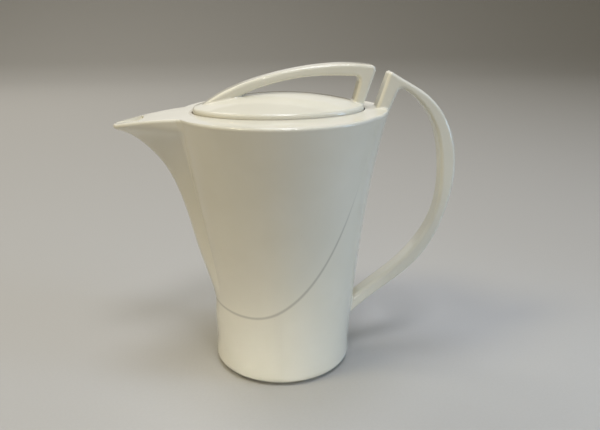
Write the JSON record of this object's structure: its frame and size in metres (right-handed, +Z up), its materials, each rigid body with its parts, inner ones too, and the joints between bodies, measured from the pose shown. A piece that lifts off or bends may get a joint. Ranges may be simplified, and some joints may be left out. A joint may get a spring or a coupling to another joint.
{
  "type": "coffee pot",
  "caption": "Glazed porcelain coffee pot, a flared round body rising out of a keeled column, with a beak spout, a bowed strap handle and a lift-off oval lid with a loop grip.",
  "frame": {"origin": "centre of the foot ring, on the plane the pot stands on", "axes": "+X towards the handle, -X towards the beak, +Z up; the pot mirrors about the XZ plane"},
  "size_m": [0.2144, 0.1288, 0.1977],
  "materials": {
    "glaze": "glossy cream-white glaze"
  },
  "bodies": {
    "pot": {"pot_body": "glaze", "pot_handle": "glaze"},
    "lid": {"lid": "glaze", "lid_loop": "glaze"}
  },
  "joints": [
    {"name": "lid_lift", "type": "slide", "parent": "pot", "child": "lid", "axis": [0, 0, 1], "range_m": [0, 0.06]}
  ]
}
